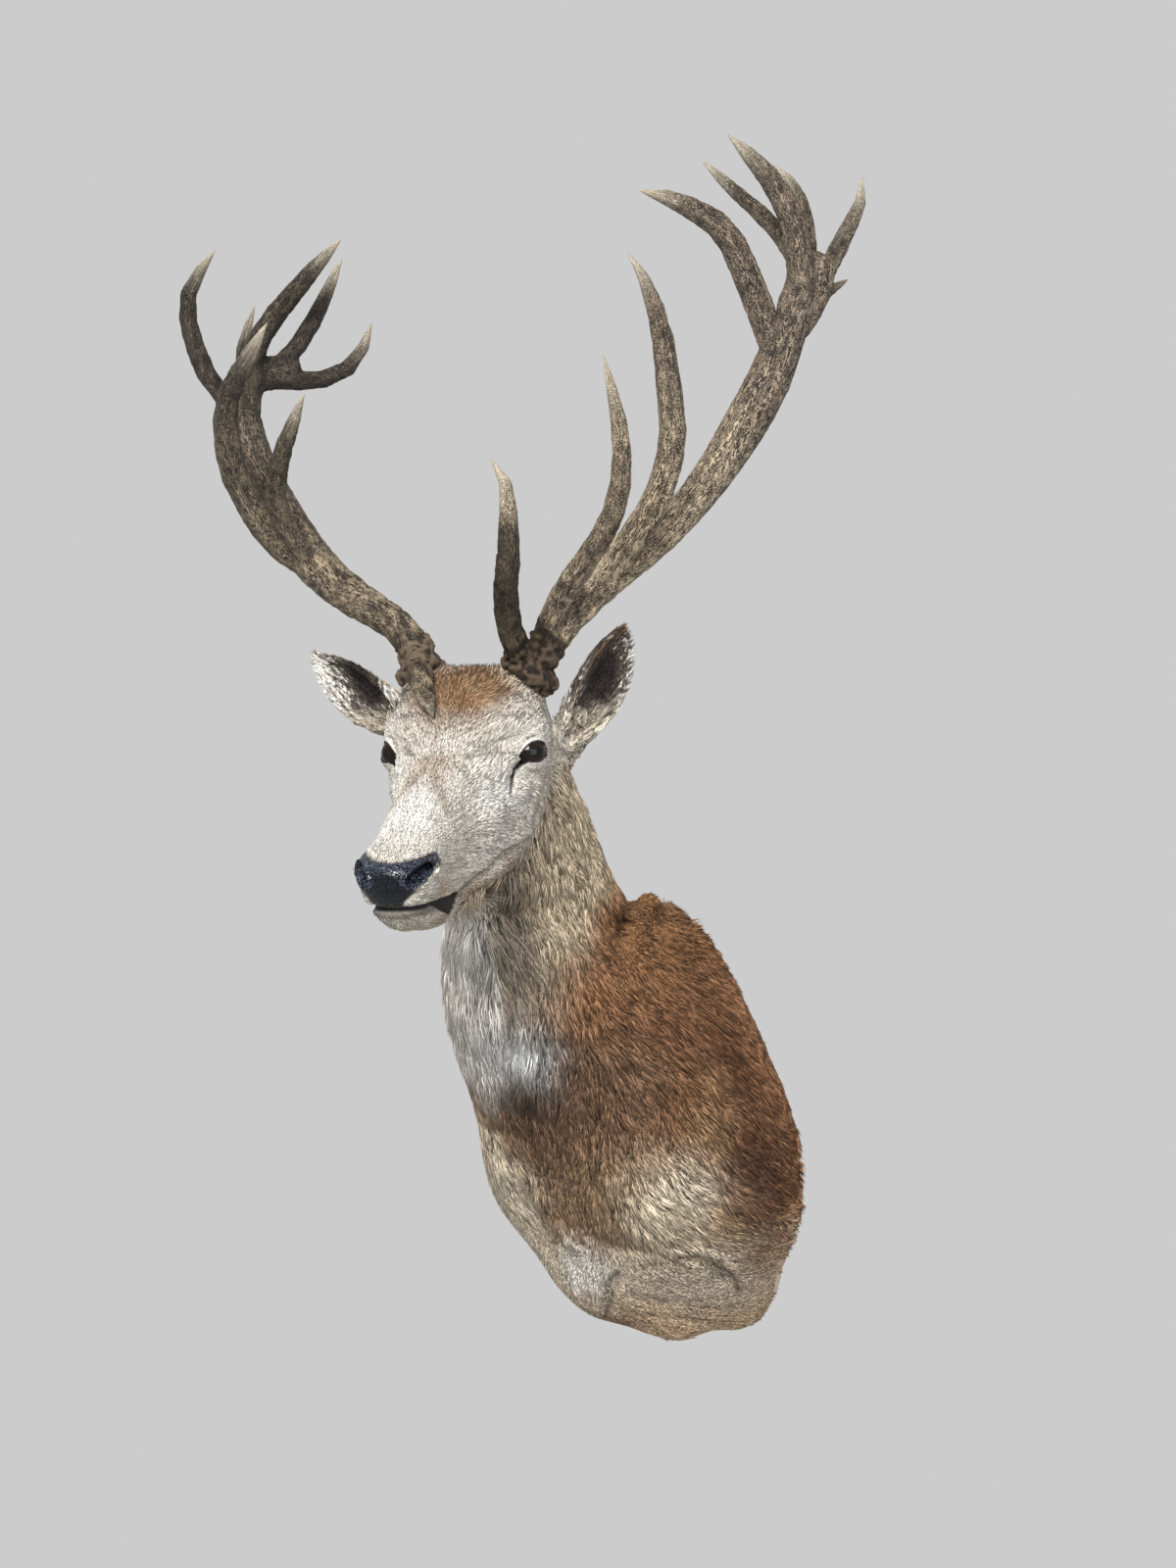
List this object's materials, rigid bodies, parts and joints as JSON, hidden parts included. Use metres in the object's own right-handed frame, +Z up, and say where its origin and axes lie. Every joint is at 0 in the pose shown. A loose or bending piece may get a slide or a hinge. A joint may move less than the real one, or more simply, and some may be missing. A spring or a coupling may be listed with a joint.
{
  "type": "red deer stag shoulder mount",
  "caption": "Life-size red deer stag shoulder mount: turned head, full branched antlers, neck and shoulders on a wall board.",
  "frame": {"origin": "middle of the width of the back board, on its rear face, where the mount lies against the wall", "axes": "+Y into the wall, so the stag faces -Y; +Z up; +X towards the stag's own left"},
  "size_m": [0.6007, 0.5859, 1.3598],
  "materials": {
    "antler": "rough bone, ivory at the tips",
    "head_hair": "short fur",
    "body_hair": "long fur",
    "nose_skin": "wet pebbled skin",
    "eye_glass": "polished",
    "board_wood": "plain plywood",
    "hanger_steel": "zinc plated"
  },
  "bodies": {
    "root": {"back_board": "board_wood", "brisket": "body_hair", "ear_left": "head_hair", "ear_right": "head_hair", "eye_left": "eye_glass", "eye_right": "eye_glass", "hanger_plate": "hanger_steel", "hanger_screw_lower": "hanger_steel", "hanger_screw_upper": "hanger_steel", "head": "head_hair", "left_bez_tine": "antler", "left_brow_tine": "antler", "left_crown": "antler", "left_crown_snag": "antler", "left_front_crown_tine": "antler", "left_inner_crown_tine": "antler", "left_lower_beam": "antler", "left_main_crown_tine": "antler", "left_middle_beam": "antler", "left_outer_crown_tine": "antler", "left_outer_spur": "antler", "left_trez_tine": "antler", "left_upper_crown_tine": "antler", "lower_jaw": "head_hair", "neck": "body_hair", "nose_pad": "nose_skin", "right_bez_tine": "antler", "right_brow_stub": "antler", "right_crown": "antler", "right_inner_crown_tine": "antler", "right_lower_beam": "antler", "right_lower_crown_tine": "antler", "right_main_crown_tine": "antler", "right_middle_beam": "antler", "right_outer_crown_tine": "antler", "right_rear_crown_tine": "antler", "right_trez_tine": "antler", "shoulders": "body_hair"}
  },
  "joints": []
}
